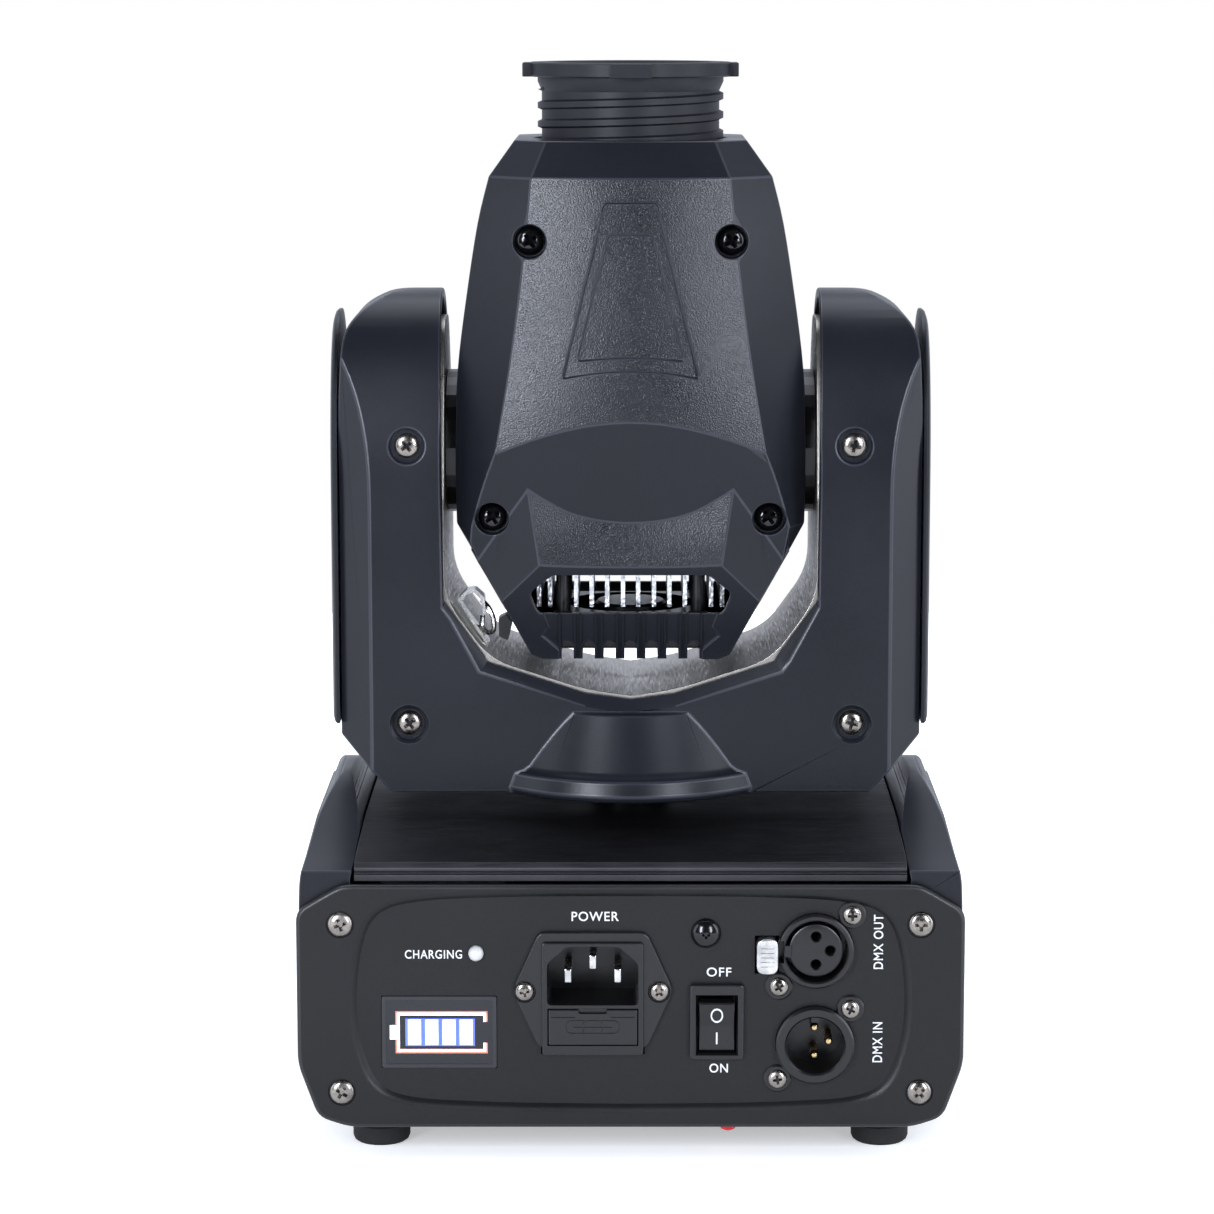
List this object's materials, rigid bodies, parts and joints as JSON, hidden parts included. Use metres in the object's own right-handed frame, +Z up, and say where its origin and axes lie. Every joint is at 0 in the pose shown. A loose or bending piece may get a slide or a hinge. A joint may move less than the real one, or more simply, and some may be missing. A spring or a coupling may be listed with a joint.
{
  "type": "moving head light",
  "caption": "Moving head spotlight: boxed base with rear connectors, U-shaped turning yoke and a tilting tapered head with a screw-in focus barrel.",
  "frame": {"origin": "centre of the base's footprint on the floor, under the pan axis", "axes": "+Z up along the pan axis, -Y out of the connector panel, +X to the right when looking at the connectors; the head points up"},
  "size_m": [0.1872, 0.1623, 0.3052],
  "materials": {
    "shell_plastic": "fine-textured charcoal moulding",
    "panel_plastic": "fine-textured black moulding",
    "black_plastic": "smooth black moulding",
    "black_sheet": "black brushed and lacquered sheet",
    "bracket_steel": "brushed strip steel",
    "shaft_steel": "turned steel",
    "bright_metal": "bright aluminium",
    "rubber": "black rubber",
    "red_plastic": "glossy red cap",
    "lamp_lens": "milky lamp lens",
    "gauge_glass": "smoked display window",
    "board": "green circuit board",
    "battery_wrap": "blue battery wrap",
    "glass": "clear glass",
    "copper": "copper-backed board"
  },
  "bodies": {
    "base": {"base_bottom_plate": "black_sheet", "base_bridge": "black_sheet", "base_cheek_left": "shell_plastic", "base_cheek_right": "shell_plastic", "base_top_cover": "black_sheet", "battery_gauge": "gauge_glass", "battery_pack": "battery_wrap", "charging_led": "lamp_lens", "control_board": "board", "display_window": "gauge_glass", "dmx_in_shell": "black_plastic", "dmx_out_shell": "black_plastic", "foot_1": "rubber", "foot_2": "rubber", "foot_3": "rubber", "foot_4": "rubber", "front_panel": "panel_plastic", "pan_belt": "rubber", "pan_motor": "black_plastic", "power_inlet": "black_plastic", "power_supply_board": "board", "power_switch_frame": "black_plastic", "rear_panel": "panel_plastic"},
    "fuse_drawer": {"fuse_drawer": "black_plastic"},
    "power_rocker": {"power_rocker": "black_plastic"},
    "dmx_latch": {"dmx_out_latch": "bright_metal"},
    "battery_button": {"battery_button": "red_plastic"},
    "menu_1": {"menu_button_1": "black_plastic"},
    "menu_2": {"menu_button_2": "black_plastic"},
    "menu_3": {"menu_button_3": "black_plastic"},
    "menu_4": {"menu_button_4": "black_plastic"},
    "pan_pinion": {"pan_pinion": "shaft_steel"},
    "yoke": {"yoke_bracket": "bracket_steel", "yoke_rear_shell": "shell_plastic", "yoke_front_shell": "shell_plastic", "yoke_left_cover": "shell_plastic", "yoke_right_cover": "shell_plastic", "pan_shaft": "shaft_steel", "pan_pulley": "black_plastic", "tilt_motor": "black_plastic", "tilt_belt": "rubber", "cable_clip": "bright_metal"},
    "tilt_pinion": {"tilt_pinion": "shaft_steel"},
    "head": {"head_rear_shell": "shell_plastic", "head_front_shell": "shell_plastic", "tilt_shaft_left": "black_plastic", "tilt_shaft_right": "black_plastic", "heat_sink": "bright_metal", "led_module": "copper", "condenser_lens": "glass", "fan_frame": "black_plastic", "effects_plate": "black_sheet", "colour_motor": "bright_metal", "gobo_motor": "bright_metal", "focus_collar": "black_plastic"},
    "fan": {"fan_rotor": "black_plastic"},
    "colour_wheel": {"colour_wheel": "glass"},
    "gobo_wheel": {"gobo_wheel": "shaft_steel"},
    "focus_lens": {"focus_lens": "glass"},
    "barrel": {"lens_barrel": "black_plastic"}
  },
  "joints": [
    {"name": "pan", "type": "hinge", "parent": "base", "child": "yoke", "pos_m": [0, 0, 0.09], "axis": [0, 0, 1], "range_deg": [-270, 270]},
    {"name": "tilt", "type": "hinge", "parent": "yoke", "child": "head", "pos_m": [0, 0, 0.1948], "axis": [1, 0, 0], "range_deg": [-90, 90]},
    {"name": "pan_pinion_turn", "type": "hinge", "parent": "base", "child": "pan_pinion", "pos_m": [0, 0.045, 0.075], "axis": [0, 0, 1], "range_deg": [-901, 901]},
    {"name": "tilt_pinion_turn", "type": "hinge", "parent": "yoke", "child": "tilt_pinion", "pos_m": [0.0625, 0, 0.15], "axis": [1, 0, 0], "range_deg": [-241, 241]},
    {"name": "focus_turn", "type": "hinge", "parent": "focus_lens", "child": "barrel", "pos_m": [0, 0, 0.3], "axis": [0, 0, 1], "range_deg": [-900, 180]},
    {"name": "focus_travel", "type": "slide", "parent": "head", "child": "focus_lens", "axis": [0, 0, 1], "range_m": [-0.0136, 0.0028]},
    {"name": "fan_turn", "type": "hinge", "parent": "head", "child": "fan", "pos_m": [0, 0, 0.143], "axis": [0, 0, 1], "continuous": true},
    {"name": "colour_turn", "type": "hinge", "parent": "head", "child": "colour_wheel", "pos_m": [-0.018, 0, 0.2147], "axis": [0, 0, 1], "continuous": true},
    {"name": "gobo_turn", "type": "hinge", "parent": "head", "child": "gobo_wheel", "pos_m": [0.018, 0, 0.2187], "axis": [0, 0, 1], "continuous": true},
    {"name": "power_switch", "type": "hinge", "parent": "base", "child": "power_rocker", "pos_m": [0.0242, -0.077, 0.039], "axis": [1, 0, 0], "range_deg": [-20, 0]},
    {"name": "fuse_drawer_pull", "type": "slide", "parent": "base", "child": "fuse_drawer", "axis": [0, -1, 0], "range_m": [0, 0.02]},
    {"name": "dmx_latch_press", "type": "slide", "parent": "base", "child": "dmx_latch", "axis": [0, 1, 0], "range_m": [0, 0.0015], "stiffness_N_per_m": 800},
    {"name": "battery_button_press", "type": "slide", "parent": "base", "child": "battery_button", "axis": [0, 0, 1], "range_m": [0, 0.0015], "stiffness_N_per_m": 600},
    {"name": "menu_1_press", "type": "slide", "parent": "base", "child": "menu_1", "axis": [0, -1, 0], "range_m": [0, 0.0012], "stiffness_N_per_m": 500},
    {"name": "menu_2_press", "type": "slide", "parent": "base", "child": "menu_2", "axis": [0, -1, 0], "range_m": [0, 0.0012], "stiffness_N_per_m": 500},
    {"name": "menu_3_press", "type": "slide", "parent": "base", "child": "menu_3", "axis": [0, -1, 0], "range_m": [0, 0.0012], "stiffness_N_per_m": 500},
    {"name": "menu_4_press", "type": "slide", "parent": "base", "child": "menu_4", "axis": [0, -1, 0], "range_m": [0, 0.0012], "stiffness_N_per_m": 500}
  ],
  "couplings": [
    {"joint": "pan_pinion_turn", "follows": "pan", "ratio": 3.3333},
    {"joint": "tilt_pinion_turn", "follows": "tilt", "ratio": 2.6667},
    {"joint": "focus_travel", "follows": "focus_turn", "m_per_rad": 0.00085944}
  ]
}
